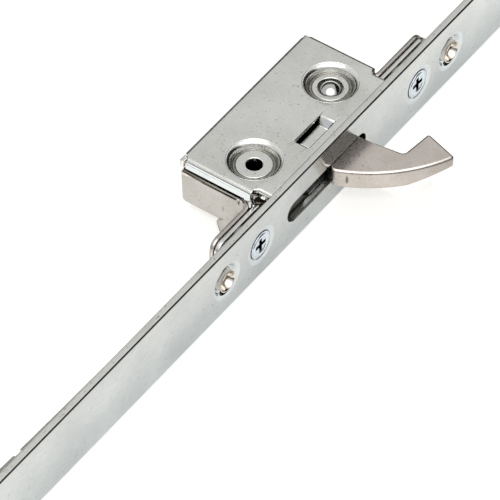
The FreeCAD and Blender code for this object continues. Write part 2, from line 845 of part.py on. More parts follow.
def case_body():
    """Die-cast tray under the cover, open at the front."""
    front = strip_thickness + cover_front_gap
    wall_y = body_lug_back + lug_bend_radius
    inner_left = -case_left + body_wall
    inner_right = case_right - body_wall
    inner_rear = case_rear - body_wall
    side_cut = body_lug_sheet + body_corner_radius
    below = -half_case - overshoot
    hollow = box(inner_left, inner_right, front - overshoot, inner_rear, floor_top, half_case)
    side_left = box(-case_left - overshoot, -case_left + side_cut, 0, wall_y, below, half_case)
    side_right = box(case_right - side_cut, case_right + overshoot, 0, wall_y, below, half_case)
    body = body_block(front).cut([hollow, side_left, side_right])
    panel_top = body_top - body_band_height
    shoulders = edges_where(body, lambda p: near(p.y, wall_y) and near(p.z, panel_top))
    body = body.makeFillet(body_panel_radius, shoulders)
    body = body.cut(box(-case_left + body_rim_wall, case_right - body_rim_wall, wall_y,
                        case_rear - body_rim_wall, body_top - body_rebate_depth, half_case))
    lip_top = cover_under - play
    lip_low = body_top - body_lip_overlap
    lip_left = -case_left + cover_sheet + body_lip_gap
    lip_right = case_right - cover_sheet - body_lip_gap
    lip_back = case_rear - cover_sheet - body_lip_gap
    lips = [
        box(lip_left, lip_left + body_lip, wall_y, inner_rear, lip_low, lip_top),
        box(lip_right - body_lip, lip_right, wall_y, inner_rear, lip_low, lip_top),
        box(lip_left, lip_right, lip_back - body_lip, lip_back, lip_low, lip_top),
        body_lug(case_right, lug_reach_right),
        mirrored(body_lug(case_left, lug_reach_left)),
        corner_post(),
    ]
    body = body.fuse(lips)
    shaft = pivot_pin_diameter / 2 + play
    foot = pivot_foot_diameter / 2 + play
    cuts = [
        heel_pocket(),
        rear_lip_cut(-case_left, 1),
        rear_lip_cut(case_right, -1),
        rod_z(pivot_x, pivot_y, below, 0, shaft),
        rod_z(pivot_x, pivot_y, below, -half_case + pivot_foot_height, foot),
        rod_z(open_dimple_place, pivot_y, below, 0, open_dimple_hole / 2),
    ]
    return body.cut(cuts).removeSplitter()


def corner_post():
    """Cast post in the left front corner, seen through the notch of the cover."""
    x = -case_left + corner_post_inset
    post = rod_z(x, corner_post_place, -half_case, lug_half_height, corner_post_radius)
    return post.makeFillet(corner_post_edge, edges_where(post, lambda p: near(p.z, lug_half_height)))


def rear_lip_cut(side_x, inward):
    """Keeps the lips inside the slanted corners of the cover."""
    reach = corner_cut + cover_sheet + body_lip_gap
    points = [
        (side_x, case_rear - reach),
        (side_x, case_rear),
        (side_x + inward * reach, case_rear),
    ]
    return polygon_z(points, body_top, half_case)


def save(name, shape):
    seated = shape.copy()
    seated.translate(Vector(0, -strip_thickness, 0))
    seated.exportStep("parts/" + name + ".step")
    print(name, len(seated.Solids), "solids, %.0f cubic mm" % seated.Volume)


os.makedirs("parts", exist_ok=True)
save("faceplate", faceplate())
save("drive_rail", drive_rail())
save("rack", rack())
save("rack_rivets", rack_rivets())
save("case_cover", case_cover())
save("case_body", case_body())
save("hook", hook())
save("hook_pivot_pin", hook_pivot_pin())
save("hook_spacer_upper", spacer(half_hook + play, dimple_back))
save("hook_spacer_lower", spacer(floor_top, gear_bottom - play))
for side, sign in (("left", -1), ("right", 1)):
    save("case_screw_" + side, case_screw(sign * case_screw_x))
    save("screw_collar_" + side, screw_collar(sign * case_screw_x))
    save("door_bush_" + side, door_bush(sign * door_screw_x))
print("rail travel %.3f" % rail_travel)
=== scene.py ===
import json
import math

import bmesh
import bpy
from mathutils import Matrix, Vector
from mathutils.bvhtree import BVHTree

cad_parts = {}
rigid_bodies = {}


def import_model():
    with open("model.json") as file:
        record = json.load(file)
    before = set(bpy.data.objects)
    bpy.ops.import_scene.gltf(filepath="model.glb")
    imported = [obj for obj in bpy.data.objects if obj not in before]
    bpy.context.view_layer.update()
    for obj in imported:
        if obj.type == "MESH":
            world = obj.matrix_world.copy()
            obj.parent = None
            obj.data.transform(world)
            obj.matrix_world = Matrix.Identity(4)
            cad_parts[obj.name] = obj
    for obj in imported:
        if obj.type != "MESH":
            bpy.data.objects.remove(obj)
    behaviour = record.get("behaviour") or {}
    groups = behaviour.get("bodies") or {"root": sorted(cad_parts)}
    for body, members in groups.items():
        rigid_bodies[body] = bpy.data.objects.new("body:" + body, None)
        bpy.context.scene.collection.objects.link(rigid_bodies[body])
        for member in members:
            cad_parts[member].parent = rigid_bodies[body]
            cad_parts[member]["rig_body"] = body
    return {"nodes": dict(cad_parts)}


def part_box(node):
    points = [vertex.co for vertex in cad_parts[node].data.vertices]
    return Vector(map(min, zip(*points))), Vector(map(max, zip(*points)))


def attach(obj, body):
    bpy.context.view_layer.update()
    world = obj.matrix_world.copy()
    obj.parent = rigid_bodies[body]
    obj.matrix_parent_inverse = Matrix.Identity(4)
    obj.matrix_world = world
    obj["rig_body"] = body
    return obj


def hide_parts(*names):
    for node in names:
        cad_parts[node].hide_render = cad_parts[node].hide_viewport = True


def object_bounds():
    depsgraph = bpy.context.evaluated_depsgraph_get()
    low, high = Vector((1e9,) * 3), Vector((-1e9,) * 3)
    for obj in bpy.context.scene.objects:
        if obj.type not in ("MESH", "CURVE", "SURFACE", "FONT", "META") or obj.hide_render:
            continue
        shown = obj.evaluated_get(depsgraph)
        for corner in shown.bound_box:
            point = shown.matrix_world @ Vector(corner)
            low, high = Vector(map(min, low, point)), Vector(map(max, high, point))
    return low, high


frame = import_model()
cadLow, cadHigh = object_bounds()
nodes = frame["nodes"]
print("frame loaded,", len(nodes), "nodes")


# helpers

def toLinear(hexText):
    # sRGB hex to linear RGBA
    channels = [int(hexText[i:i + 2], 16) / 255 for i in (1, 3, 5)]
    linear = [c / 12.92 if c <= 0.04045 else ((c + 0.055) / 1.055) ** 2.4 for c in channels]
    return (*linear, 1.0)


def newMaterial(name):
    material = bpy.data.materials.new(name)
    material.use_nodes = True
    material.node_tree.nodes.clear()
    return material, material.node_tree


def addNode(tree, kind, inputs=None, **settings):
    # one node with its settings, and each input as a value or as a socket to link
    node = tree.nodes.new(kind)
    for name, value in settings.items():
        setattr(node, name, value)
    for name, value in (inputs or {}).items():
        if isinstance(value, bpy.types.NodeSocket):
            tree.links.new(value, node.inputs[name])
        else:
            node.inputs[name].default_value = value
    return node


def mathNode(tree, operation, *operands, clamp=False):
    node = addNode(tree, "ShaderNodeMath", dict(enumerate(operands)),
                   operation=operation, use_clamp=clamp)
    return node.outputs[0]


def vectorNode(tree, operation, *operands):
    # a length and a dot product come out as a value
    node = addNode(tree, "ShaderNodeVectorMath", dict(enumerate(operands)), operation=operation)
    return node.outputs["Value" if operation in ("LENGTH", "DOT_PRODUCT") else "Vector"]


def noiseNode(tree, place, size, detail, roughness=0.5):
    node = addNode(tree, "ShaderNodeTexNoise", {"Vector": place, "Scale": 1 / size,
                                                "Detail": detail, "Roughness": roughness})
    return node.outputs["Fac"]


def rangeNode(tree, value, span, target, smooth=True):
    # carries the span of a value over to the target, in a smooth step or in a straight line
    ends = {"From Min": span[0], "From Max": span[1], "To Min": target[0], "To Max": target[1]}
    node = addNode(tree, "ShaderNodeMapRange", {"Value": value, **ends},
                   interpolation_type="SMOOTHSTEP" if smooth else "LINEAR")
    return node.outputs["Result"]


def rampNode(tree, factor, *stops):
    # a colour ramp through two (place, colour) stops
    node = addNode(tree, "ShaderNodeValToRGB", {"Fac": factor})
    for element, (place, colour) in zip(node.color_ramp.elements, stops):
        element.position = place
        element.color = colour
    return node.outputs["Color"]


def mixNode(tree, factor, first, second, kind="RGBA"):
    # the Mix node keeps its sockets for numbers and for colours at places of their own
    firstSocket, secondSocket, result = {"FLOAT": (2, 3, 0), "RGBA": (6, 7, 2)}[kind]
    node = addNode(tree, "ShaderNodeMix", data_type=kind,
                   inputs={0: factor, firstSocket: first, secondSocket: second})
    return node.outputs[result]


def byRay(tree, seen, mirrored, lit):
    # one shader for the camera, one for what the metal mirrors and one for all other light
    rays = addNode(tree, "ShaderNodeLightPath").outputs
    toCamera = mathNode(tree, "MAXIMUM", rays["Is Camera Ray"], rays["Is Transmission Ray"])
    unseen = addNode(tree, "ShaderNodeMixShader", {0: rays["Is Glossy Ray"], 1: lit, 2: mirrored})
    choice = addNode(tree, "ShaderNodeMixShader", {0: toCamera, 1: unseen.outputs[0], 2: seen})
    return choice.outputs[0]


# metals

white = (1.0, 1.0, 1.0, 1.0)
black = (0.0, 0.0, 0.0, 1.0)
plating = {
    "grain": (3.0, 0.6),  # detail and roughness of the noise
    "cloud": (4.0, 0.55),
    "speck": (2.0, 0.5),
    "span": (0.3, 0.7),  # of the noise, over which tones and roughness change
    "speckBlend": 0.06,
    "grainHeight": 0.1,  # as a share of the size of the grain
    "cloudHeight": 0.01,
    "nickSpan": (1.0, 0.5),  # from the outline of a nick to its full tone, in half sizes
    "nickStrength": 0.9,
}


def nickedColour(tree, place, colour, look):
    # one short dark nick in the plate, where the photograph shows it
    away = vectorNode(tree, "SUBTRACT", place, look["nickPlace"])
    reach = vectorNode(tree, "LENGTH", vectorNode(tree, "DIVIDE", away, look["nickHalf"]))
    nick = rangeNode(tree, reach, plating["nickSpan"], (0.0, plating["nickStrength"]))
    return mixNode(tree, nick, colour, toLinear(look["nickTone"]))


def platedMetal(name, look):
    # metal with a fine grain, soft clouding and rolling or casting marks, all in real sizes
    material, tree = newMaterial(name)
    place = addNode(tree, "ShaderNodeTexCoord").outputs["Object"]
    stretched = addNode(tree, "ShaderNodeMapping", {"Vector": place,
                                                    "Scale": look.get("stretch", (1, 1, 1))})
    grain = noiseNode(tree, stretched.outputs["Vector"], look["grainSize"], *plating["grain"])
    cloud = noiseNode(tree, place, look["cloudSize"], *plating["cloud"])
    speck = noiseNode(tree, place, look["speckSize"], *plating["speck"])

    mottle = mathNode(tree, "MULTIPLY_ADD", grain, look["mottle"], -0.5 * look["mottle"])
    shade = mathNode(tree, "ADD", cloud, mottle)
    darkAt, lightAt = plating["span"]
    tone = rampNode(tree, shade, (darkAt, toLinear(look["dark"])),
                    (lightAt, toLinear(look["light"])))
    speckMask = rampNode(tree, speck, (look["speckEdge"], black),
                         (look["speckEdge"] + plating["speckBlend"], white))
    colour = mixNode(tree, speckMask, tone, toLinear(look["speck"]))
    if "nickPlace" in look:
        colour = nickedColour(tree, place, colour, look)

    rough = rangeNode(tree, grain, plating["span"], look["rough"], smooth=False)
    fine = addNode(tree, "ShaderNodeBump", {
        "Strength": look["bump"], "Height": grain,
        "Distance": look["grainSize"] * plating["grainHeight"]})
    uneven = addNode(tree, "ShaderNodeBump", {
        "Strength": look["wave"], "Height": cloud, "Normal": fine.outputs["Normal"],
        "Distance": look["cloudSize"] * plating["cloudHeight"]})
    shader = addNode(tree, "ShaderNodeBsdfPrincipled", {
        "Metallic": 1.0, "Base Color": colour, "Roughness": rough,
        "Normal": uneven.outputs["Normal"]})
    addNode(tree, "ShaderNodeOutputMaterial", {"Surface": shader.outputs["BSDF"]})
    return material


metals = {
    # cold-rolled steel strip, electroplated with zinc: satin, clear reflections, faint rolling
    # lines along X
    "satinZincStrip": {
        "dark": "#BCBEBD", "light": "#CECFCD", "speck": "#ABAFB0", "speckEdge": 0.66,
        "speckSize": 0.0011, "grainSize": 0.0006, "cloudSize": 0.024, "stretch": (0.2, 1, 1),
        "mottle": 0.7, "rough": (0.14, 0.22), "bump": 0.1, "wave": 0.25},
    # strip steel drawn smooth by the press round a screw seat, with no rolling lines, its lighter
    # tone a painted sheen; also the painted highlight on the strip's broken edges and the tone of
    # the cover's end rims
    "seatAndEdgeSheen": {
        "dark": "#CDD2D3", "light": "#D8DBDB", "speck": "#BFC4C5", "speckEdge": 0.66,
        "speckSize": 0.0009, "grainSize": 0.0005, "cloudSize": 0.004,
        "mottle": 0.4, "rough": (0.12, 0.2), "bump": 0.1, "wave": 0.3},
    # pressed steel sheet, barrel-plated with zinc: matte and speckled
    "matteZincSheet": {
        "dark": "#CBCBC6", "light": "#DCDCD8", "speck": "#A6A6A1", "speckEdge": 0.66,
        "speckSize": 0.0009, "grainSize": 0.0006, "cloudSize": 0.014,
        "mottle": 0.9, "rough": (0.2, 0.28), "bump": 0.07, "wave": 0.2},
    # zinc plate painted light on bends and sheared edges, as a painted highlight
    "edgeHighlightZinc": {
        "dark": "#E9E9E7", "light": "#F4F4F2", "speck": "#D8D8D5", "speckEdge": 0.68,
        "speckSize": 0.0007, "grainSize": 0.0005, "cloudSize": 0.003,
        "mottle": 0.4, "rough": (0.16, 0.24), "bump": 0.05, "wave": 0.2},
    # die-cast zinc with a satin warm nickel plate: pinkish beige, finely sparkling, smooth as cast
    "castWarmNickel": {
        "dark": "#C3BAB2", "light": "#D4CCC5", "speck": "#ABA198", "speckEdge": 0.66,
        "speckSize": 0.001, "grainSize": 0.0006, "cloudSize": 0.009,
        "mottle": 0.8, "rough": (0.24, 0.34), "bump": 0.08, "wave": 0.4,
        "nickTone": "#756F69", "nickPlace": (-0.00445, -0.0083, 0.00015),
        "nickHalf": (0.00028, 0.004, 0.0021)},
    # the body casting, the same plate on a duller, greyer skin
    "castBodyNickel": {
        "dark": "#A8A49E", "light": "#B8B4AF", "speck": "#9A9289", "speckEdge": 0.68,
        "speckSize": 0.0009, "grainSize": 0.0006, "cloudSize": 0.012,
        "mottle": 0.7, "rough": (0.26, 0.34), "bump": 0.06, "wave": 0.3,
        "nickTone": "#8F8A80", "nickPlace": (-0.032, 0.01633, -0.0028),
        "nickHalf": (0.0015, 0.00028, 0.0015)},
    # both castings painted light along their edges, as a painted highlight
    "edgeHighlightCasting": {
        "dark": "#E4DAD3", "light": "#F0E8E2", "speck": "#CFC4BC", "speckEdge": 0.68,
        "speckSize": 0.0009, "grainSize": 0.0005, "cloudSize": 0.004,
        "mottle": 0.4, "rough": (0.28, 0.34), "bump": 0.02, "wave": 0.05},
    # the inside of the castings, dark olive brown as painted shade inside the case
    "paintedShadeCasting": {
        "dark": "#5F5A4B", "light": "#7E7764", "speck": "#444035", "speckEdge": 0.6,
        "speckSize": 0.0012, "grainSize": 0.0006, "cloudSize": 0.006,
        "mottle": 0.8, "rough": (0.35, 0.5), "bump": 0.1, "wave": 0.3},
    # the driven recess of a screw head: a duller, darker blue grey with dark specks
    "recessZinc": {
        "dark": "#A2ABB4", "light": "#CBD3DA", "speck": "#6A727A", "speckEdge": 0.58,
        "speckSize": 0.0006, "grainSize": 0.0004, "cloudSize": 0.002,
        "mottle": 0.8, "rough": (0.2, 0.3), "bump": 0.1, "wave": 0.3},
    # steel rail, zinc-plated, duller than the strip
    "railZinc": {
        "dark": "#8F8F8B", "light": "#A3A39F", "speck": "#787874", "speckEdge": 0.64,
        "speckSize": 0.0012, "grainSize": 0.0006, "cloudSize": 0.015, "stretch": (0.15, 1, 1),
        "mottle": 0.8, "rough": (0.24, 0.36), "bump": 0.2, "wave": 0.2},
    # sawn and machined steel, oiled; also the painted shade in the dimple grooves of the cover
    "machinedSteel": {
        "dark": "#86857F", "light": "#99978F", "speck": "#6E6C66", "speckEdge": 0.62,
        "speckSize": 0.0008, "grainSize": 0.0004, "cloudSize": 0.006, "stretch": (1, 0.2, 1),
        "mottle": 0.8, "rough": (0.3, 0.45), "bump": 0.25, "wave": 0.2},
    # turned steel pin with a polished dome
    "polishedPin": {
        "dark": "#ADADAA", "light": "#BDBDBA", "speck": "#9B9B97", "speckEdge": 0.72,
        "speckSize": 0.0008, "grainSize": 0.0004, "cloudSize": 0.003,
        "mottle": 0.4, "rough": (0.08, 0.15), "bump": 0.08, "wave": 0.3},
    # cold-headed screw, bright blue-passivated zinc
    "brightBlueZinc": {
        "dark": "#CFD8E0", "light": "#E0E7EC", "speck": "#AEB9C4", "speckEdge": 0.66,
        "speckSize": 0.0006, "grainSize": 0.0004, "cloudSize": 0.003,
        "mottle": 0.5, "rough": (0.1, 0.18), "bump": 0.12, "wave": 0.45},
    # turned and flared bush, warm nickel plate
    "bushNickel": {
        "dark": "#D6CEC4", "light": "#E6E0D8", "speck": "#BFB5A9", "speckEdge": 0.68,
        "speckSize": 0.0007, "grainSize": 0.0004, "cloudSize": 0.004,
        "mottle": 0.4, "rough": (0.12, 0.2), "bump": 0.12, "wave": 0.35},
}
finishes = {name: platedMetal(name, look) for name, look in metals.items()}
nodeFinish = {
    "faceplate": "satinZincStrip",
    "drive_rail": "railZinc",
    "rack": "machinedSteel",
    "rack_rivets": "polishedPin",
    "case_cover": "matteZincSheet",
    "case_body": "castBodyNickel",
    "hook": "castWarmNickel",
    "hook_pivot_pin": "polishedPin",
    "hook_spacer_upper": "machinedSteel",
    "hook_spacer_lower": "machinedSteel",
    "case_screw_left": "brightBlueZinc",
    "case_screw_right": "brightBlueZinc",
    "screw_collar_left": "railZinc",
    "screw_collar_right": "railZinc",
    "door_bush_left": "bushNickel",
    "door_bush_right": "bushNickel",
}
for name, finish in nodeFinish.items():
    mesh = nodes[name].data
    mesh.materials.clear()
    mesh.materials.append(finishes[finish])
print("finishes given to the solids")


# patches: faces with a finish of their own

patchLimits = {
    "seatDepth": (0.00003, 0.0016),  # of the pressed seats, behind the front of the strip
    "seatFacing": -0.5,
    "edgeFacing": 0.9,
    "rimFacing": 0.8,
    "rimArea": 2e-6,
    "groove": (0.00205, 0.0025),  # below the top of the cover, round the disc of a dimple
    "grooveCentres": [(-0.0205, 0.0136), (0.0176, 0.0136)],
    "grooveRadius": 0.0064,
    "inside": [  # the room inside the casting, and its front corner under the notch of the cover
        ((-0.0301, 0.004, -0.0079), (0.0287, 0.0285, 0.02)),
        ((-0.0317, 0.0003, -0.001), (-0.0285, 0.0095, 0.02)),
    ],
    "recessDepth": (0.00008, 0.0025),  # of the cross recess, behind the front of a screw head
    "recessRadius": 0.0030,
}
hookCut = -0.0008  # where the hook's plain front ends inside the slot of the strip; behind it the hook takes painted shade


def inSeat(face, low, high):
    # the pressed dishes round the screws and bushes, lighter as a painted sheen
    nearest, farthest = patchLimits["seatDepth"]
    depth = face.calc_center_median().y - low.y
    return nearest < depth < farthest and face.normal.y < patchLimits["seatFacing"]


def onLongEdge(face, low, high):
    # the two sheared long edges of the strip
    return abs(face.normal.z) > patchLimits["edgeFacing"]


def onRim(face, low, high):
    # the end rims of the cover
    return (abs(face.normal.x) > patchLimits["rimFacing"]
            and face.calc_area() > patchLimits["rimArea"])


def inShadedGroove(face, low, high):
    # the ring groove where the wall of a dimple meets its disc, darkened all round as painted shade
    nearest, farthest = patchLimits["groove"]
    centre = face.calc_center_median()
    return (nearest < high.z - centre.z < farthest
            and any(math.hypot(centre.x - x, centre.y - y) < patchLimits["grooveRadius"]
                    for x, y in patchLimits["grooveCentres"]))


def insideCase(face, low, high):
    # what lies inside the walls and above the floor of the casting, which takes painted shade
    centre = face.calc_center_median()
    return any(all(floor[i] < centre[i] < roof[i] for i in range(3))
               for floor, roof in patchLimits["inside"])


def behindStrip(face, low, high):
    # the hub, neck and teeth of the hook, which take painted shade behind the strip
    return face.calc_center_median().y > hookCut


def inRecess(face, low, high):
    # the cross recess of a screw head
    nearest, farthest = patchLimits["recessDepth"]
    centre = face.calc_center_median()
    across = math.hypot(centre.x - (low.x + high.x) / 2, centre.z - (low.z + high.z) / 2)
    return across < patchLimits["recessRadius"] and nearest < centre.y - low.y < farthest


# pieces

softened = {
    # node: edge width in metres, finish of the broken edges (a painted highlight where it is
    # lighter than the piece), and patches with finish and test
    # the strip's broken edges and its seats take the lighter finish as painted highlight and sheen
    "faceplate": (0.0003, "seatAndEdgeSheen", [("seatAndEdgeSheen", inSeat), ("matteZincSheet", onLongEdge)]),
    "drive_rail": (0.0002, "edgeHighlightZinc", []),
    # the groove round each dimple's disc takes the darker machined steel as painted shade
    "case_cover": (0.00025, "edgeHighlightZinc", [("seatAndEdgeSheen", onRim), ("machinedSteel", inShadedGroove)]),
    # inside the casting, and on the hook behind the strip, a dark finish stands for painted shade
    "case_body": (0.0004, "edgeHighlightCasting", [("paintedShadeCasting", insideCase)]),
    "hook": (0.00025, "edgeHighlightCasting", [("paintedShadeCasting", behindStrip)]),
    "rack": (0.0001, "machinedSteel", []),
    "hook_pivot_pin": (0.00015, "polishedPin", []),
    "door_bush_left": (0.00012, "bushNickel", []),
    "door_bush_right": (0.00012, "bushNickel", []),
    "case_screw_left": (0.0002, "brightBlueZinc", [("recessZinc", inRecess)]),
    "case_screw_right": (0.0002, "brightBlueZinc", [("recessZinc", inRecess)]),
}
rearFold = {"width": 0.0006, "segments": 3, "within": 1e-5}  # the folded rear edge of the cover
edgeWork = {
    "mergeWithin": 2e-6,
    "flatWithin": math.radians(0.4),
    "sharpFrom": math.radians(30),  # edges turned by less than this are left alone
    "segments": 2,
    "strayFrom": 1.1,  # edge widths off the surface, where a bevel has shot past it
    "keepOff": 4,  # edge widths round such a corner, where the next attempt bevels nothing
    "attempts": 6,
    "shadeSharpFrom": math.radians(40),
}


def foldRear(bm, corner):
    # rounds the upper rear edge of the cover, on the line through the high corner of its box
    onLine = [edge for edge in bm.edges
              if all(vert.co.y > corner.y - rearFold["within"]
                     and vert.co.z > corner.z - rearFold["within"] for vert in edge.verts)]
    bmesh.ops.bevel(bm, geom=onLine, offset=rearFold["width"], offset_type="OFFSET",
                    affect="EDGES", segments=rearFold["segments"], profile=0.5, material=-1,
                    clamp_overlap=False)


def breakEdges(source, width, foldCorner):
    # bevels the sharp edges of a merged copy, except at corners where a bevel shoots past
    left = []
    for attempt in range(edgeWork["attempts"]):
        if attempt:
            bm.free()
        bm = bmesh.new()
        bm.from_mesh(source)
        bmesh.ops.remove_doubles(bm, verts=bm.verts, dist=edgeWork["mergeWithin"])
        bmesh.ops.dissolve_limit(bm, angle_limit=edgeWork["flatWithin"], verts=bm.verts,
                                 edges=bm.edges)
        if foldCorner:
            foldRear(bm, foldCorner)
        surface = BVHTree.FromBMesh(bm)
        sharp = [edge for edge in bm.edges
                 if len(edge.link_faces) == 2 and edge.calc_face_angle(0) > edgeWork["sharpFrom"]
                 and all((vert.co - place).length > edgeWork["keepOff"] * width
                         for vert in edge.verts for place in left)]
        broken = bmesh.ops.bevel(bm, geom=sharp, offset=width, offset_type="OFFSET",
                                 affect="EDGES", segments=edgeWork["segments"], profile=0.5,
                                 material=-1, clamp_overlap=False)
        stray = {vert for vert in bm.verts
                 if surface.find_nearest(vert.co)[3] > edgeWork["strayFrom"] * width}
        if not stray:
            break
        for vert in stray:
            for edge in vert.link_edges:
                near = edge.other_vert(vert)
                if near not in stray:
                    left.append(near.co.copy())
    return bm, broken["faces"], len(stray)


def finishPiece(pieceName, mesh, node):
    # links a piece, keeps its flat faces flat and lets it ride with the node's body
    piece = bpy.data.objects.new(pieceName, mesh)
    bpy.context.scene.collection.objects.link(piece)
    weighted = piece.modifiers.new("flatFaces", "WEIGHTED_NORMAL")
    weighted.keep_sharp = True
    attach(piece, nodes[node]["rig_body"])


def softenNode(name, width, edgeFinish, patches):
    # the solid with broken edges in the edge finish, a painted highlight where it is lighter than
    # the piece
    mesh = nodes[name].data.copy()
    for finish in (edgeFinish, *(patchFinish for patchFinish, isInPatch in patches)):
        mesh.materials.append(finishes[finish])
    low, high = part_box(name)
    bm, edgeFaces, strayCount = breakEdges(mesh, width, high if name == "case_cover" else None)
    for vert in bm.verts:
        for axis in range(3):
            vert.co[axis] = min(max(vert.co[axis], low[axis]), high[axis])
    # the broken edges take the edge finish, a painted highlight
    for face in edgeFaces:
        face.material_index = 1
    if name == "hook":
        bmesh.ops.bisect_plane(bm, geom=list(bm.verts) + list(bm.edges) + list(bm.faces),
                               plane_co=(0, hookCut, 0), plane_no=(0, 1, 0))
    for place, (patchFinish, isInPatch) in enumerate(patches, start=2):
        for face in bm.faces:
            if isInPatch(face, low, high):
                face.material_index = place
    bmesh.ops.triangulate(bm, faces=[f for f in bm.faces if len(f.verts) > 4])
    bm.to_mesh(mesh)
    bm.free()
    mesh.shade_smooth()
    mesh.set_sharp_from_angle(angle=edgeWork["shadeSharpFrom"])
    finishPiece(name + "_finished", mesh, name)
    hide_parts(name)
    print("softened", name, "with", len(edgeFaces), "edge faces and", strayCount, "stray corners")


for name, (width, edgeFinish, patches) in softened.items():
    softenNode(name, width, edgeFinish, patches)
print("edges softened")


headRing = {
    "radius": 0.0032,
    "width": 0.0014,
    "rise": 0.00035,
    "sink": 0.00004,
    "steps": 8,
    "turns": 64,
    "mergeWithin": 1e-7,
}


def makeHeadRing(node):
    # the rim that cold heading leaves round a screw head, a low half-round ring
    low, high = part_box(node)
    centre = Vector(((low.x + high.x) / 2, low.y, (low.z + high.z) / 2))
    bm = bmesh.new()
    line = []
    for step in range(headRing["steps"] + 1):
        turn = math.pi * step / headRing["steps"]
        out = headRing["radius"] + headRing["width"] / 2 * math.cos(turn)
        back = headRing["sink"] - headRing["rise"] * math.sin(turn)
        line.append(bm.verts.new(centre + Vector((out, back, 0))))
    edges = [bm.edges.new(pair) for pair in zip(line, line[1:])]
    bmesh.ops.spin(bm, geom=line + edges, cent=centre, axis=(0, 1, 0), angle=math.tau,
                   steps=headRing["turns"], use_merge=True, use_duplicate=False)
    bmesh.ops.remove_doubles(bm, verts=bm.verts, dist=headRing["mergeWithin"])
    bmesh.ops.holes_fill(bm, edges=[e for e in bm.edges if e.is_boundary], sides=0)
    bmesh.ops.recalc_face_normals(bm, faces=bm.faces)
    mesh = bpy.data.meshes.new(node + "_rim")
    bm.to_mesh(mesh)
    bm.free()
    mesh.materials.append(finishes["brightBlueZinc"])
    mesh.shade_smooth()
    finishPiece(node + "_rim", mesh, node)


for node in ("case_screw_left", "case_screw_right"):
    makeHeadRing(node)
print("screw rims made")


# studio

studio = {
    "floorDrop": 0.0003,
    "floorRadius": 1.6,
    "floorSides": 96,
    "floorColour": "#F4F4F2",
    "floorLift": 0.64,  # how much the paper glows for the camera
    "mirroredLift": 0.8,  # and in what the metal mirrors
    "patchSize": 0.16,  # of the soft light and dark patches on the mirrored paper
    "patchDetail": 1.0,
    "patchSpan": (0.35, 0.65),
    "patchLights": (0.78, 1.14),
    "outwards": (0.0, -1.0, 0.0),
    "floorDarkSpan": (0.02, 0.07),  # metres out from the strip, where the mirrored paper darkens
    "floorDark": 0.2,
    "farColour": "#3A3A3A",
    "rearWay": (0.814, 0.58, 0.0),  # the paper behind the part, away from the camera, lies in shade
    "rearSpan": (0.005, 0.035),
    "rearDark": 0.25,
    "nearColour": "#EAEEEE",  # the paper close to the strip, in the strip's own soft shade
    "nearLight": 0.82,
    "nearSpan": (0.0024, 0.014),
    "caseShade": 0.64,  # how light the paper stays beside the case
    "caseShadeCentre": -0.015,
    "caseShadeReach": 0.165,
    "worldStrength": 0.45,
    "skySpan": (0.06, 0.4),  # from low down to high up in the mirrored room
    "skyLight": (0.012, 0.92),
    "darkSide": (0.814, 0.58, 0.0),  # the unlit side of the room
    "darkSideRise": 0.45,
    "doorway": (0.8, -0.6, 0.0),  # dark, draws the line along the front edge of the strip
    "doorwayEdge": (0.54, 0.7),
    "doorwayRise": 0.75,
    "overhead": (-0.3, -0.2, 0.933),  # the large softbox overhead, as the metal mirrors it
    "overheadEdge": (0.8, 0.9),
    "overheadGain": 1.9,
}
lamps = {
    "keySoftbox": {"place": (-0.62, -0.45, 1.25), "size": 0.4, "power": 2.5},
    "topSoftbox": {"place": (0.26, 0.28, 1.25), "size": 0.3, "power": 3.0},
}
lampAim = Vector((-0.045, -0.0024, 0.003))


def mirroredFloor(tree, place):
    # the paper as the metal mirrors it, which shades the strip as in the photograph
    away = vectorNode(tree, "DOT_PRODUCT", place, studio["outwards"])
    noise = noiseNode(tree, place, studio["patchSize"], studio["patchDetail"])
    lights = [studio["mirroredLift"] * light for light in studio["patchLights"]]
    patches = rangeNode(tree, noise, studio["patchSpan"], lights, smooth=False)
    falloff = rangeNode(tree, away, studio["floorDarkSpan"], (1.0, studio["floorDark"]))
    glow = mathNode(tree, "MULTIPLY", patches, falloff)

    # in front of the strip
    along = addNode(tree, "ShaderNodeSeparateXYZ", {0: place}).outputs["X"]
    fromCase = mathNode(tree, "SUBTRACT", along, studio["caseShadeCentre"])
    apart = mathNode(tree, "ABSOLUTE", fromCase)
    caseShade = rangeNode(tree, apart, (0.0, studio["caseShadeReach"]), (studio["caseShade"], 1.0))
    nearStep = rangeNode(tree, away, studio["nearSpan"], (0.0, 1.0), smooth=False)
    nearShade = rangeNode(tree, nearStep, (0.0, 1.0), (studio["nearLight"], 1.0), smooth=False)
    frontShade = mathNode(tree, "MULTIPLY", caseShade, nearShade)
    frontGlow = mathNode(tree, "MULTIPLY", glow, frontShade)
    paperColour = toLinear(studio["floorColour"])
    frontTint = mixNode(tree, nearStep, toLinear(studio["nearColour"]), paperColour)

    # behind it
    isBehind = mathNode(tree, "LESS_THAN", away, 0.0)
    rearward = vectorNode(tree, "DOT_PRODUCT", place, studio["rearWay"])
    rearShade = rangeNode(tree, rearward, studio["rearSpan"], (1.0, studio["rearDark"]))
    rearGlow = mathNode(tree, "MULTIPLY", glow, rearShade)

    bothGlows = mixNode(tree, isBehind, frontGlow, rearGlow, kind="FLOAT")
    bothTints = mixNode(tree, isBehind, frontTint, paperColour)
    lift = addNode(tree, "ShaderNodeEmission", {"Color": bothTints, "Strength": bothGlows})
    farPaper = mixNode(tree, falloff, toLinear(studio["farColour"]), bothTints)
    paper = addNode(tree, "ShaderNodeBsdfDiffuse", {"Color": farPaper})
    both = addNode(tree, "ShaderNodeAddShader", {0: paper.outputs[0], 1: lift.outputs[0]})
    return both.outputs[0]


